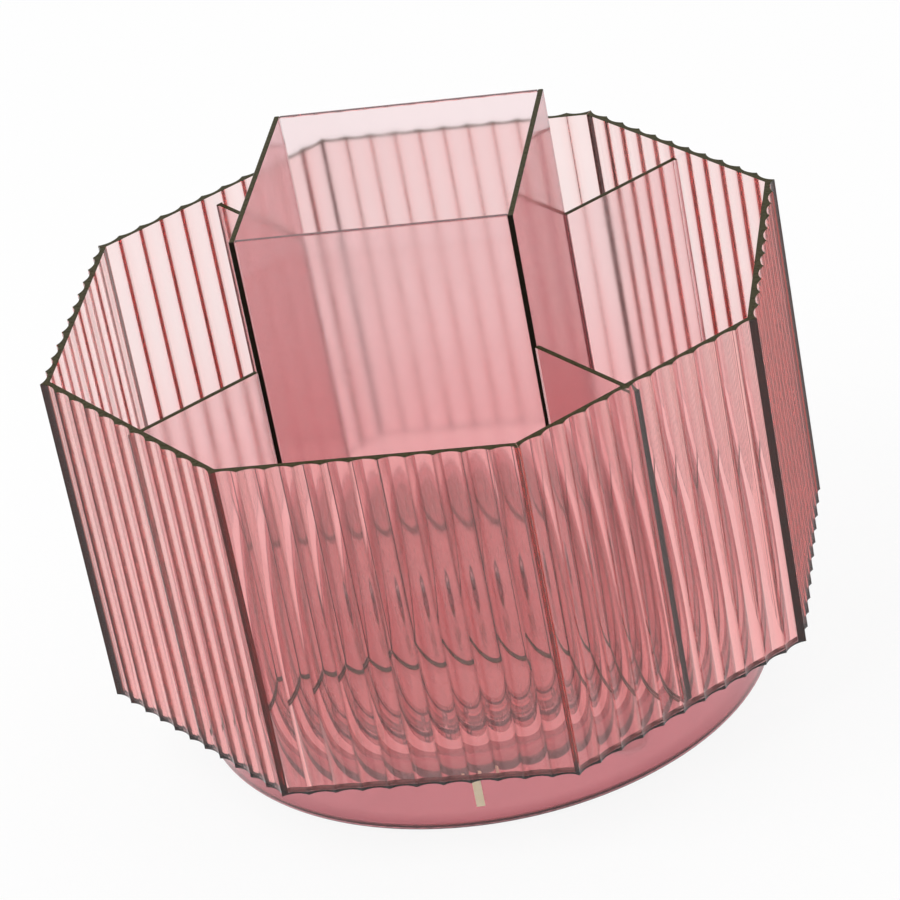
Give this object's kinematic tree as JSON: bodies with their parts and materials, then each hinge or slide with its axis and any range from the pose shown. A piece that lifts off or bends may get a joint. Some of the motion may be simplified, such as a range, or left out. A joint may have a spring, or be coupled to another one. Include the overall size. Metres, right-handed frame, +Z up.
{
  "type": "rotating pen holder",
  "caption": "Octagonal desk caddy of fluted tinted acrylic with a taller square centre compartment and corner dividers, turning on a round ball-bearing base; holds pens and stationery.",
  "frame": {"origin": "on the turning axis, at the underside of the feet", "axes": "+Z up along the turning axis; -Y is the front, the flat wall that the camera faces; +X is right"},
  "size_m": [0.1328, 0.1328, 0.1107],
  "materials": {
    "rose_acrylic": "clear tinted sheet, polished faces",
    "rose_moulding": "clear tinted moulding, gloss",
    "clear_polycarbonate": "clear moulded polycarbonate",
    "steel": "bright zinc-plated steel",
    "brass": "turned brass",
    "silicone": "translucent soft silicone"
  },
  "bodies": {
    "base": {"base_drum": "rose_moulding", "base_cover": "rose_moulding", "threaded_insert": "brass", "pivot_screw": "clear_polycarbonate", "slip_washer": "rose_moulding", "foot_front_right": "silicone", "foot_back_right": "silicone", "foot_back_left": "silicone", "foot_front_left": "silicone"},
    "ball_race": {"ball_cage": "rose_moulding", "bearing_balls": "steel"},
    "carousel": {"wall_front": "rose_acrylic", "wall_front_right": "rose_acrylic", "wall_right": "rose_acrylic", "wall_back_right": "rose_acrylic", "wall_back": "rose_acrylic", "wall_back_left": "rose_acrylic", "wall_left": "rose_acrylic", "wall_front_left": "rose_acrylic", "floor_plate": "rose_acrylic", "box_front": "rose_acrylic", "box_right": "rose_acrylic", "box_back": "rose_acrylic", "box_left": "rose_acrylic", "box_floor": "rose_acrylic", "divider_front_right": "rose_acrylic", "divider_back_right": "rose_acrylic", "divider_back_left": "rose_acrylic", "divider_front_left": "rose_acrylic", "turntable_plate": "rose_moulding", "floor_bush": "rose_moulding"}
  },
  "joints": [
    {"name": "carousel_spin", "type": "hinge", "parent": "base", "child": "carousel", "pos_m": [0, 0, 0.018], "axis": [0, 0, 1], "continuous": true},
    {"name": "ball_race_spin", "type": "hinge", "parent": "base", "child": "ball_race", "pos_m": [0, 0, 0.01465], "axis": [0, 0, 1], "continuous": true}
  ],
  "couplings": [
    {"joint": "ball_race_spin", "follows": "carousel_spin", "ratio": 0.5}
  ]
}
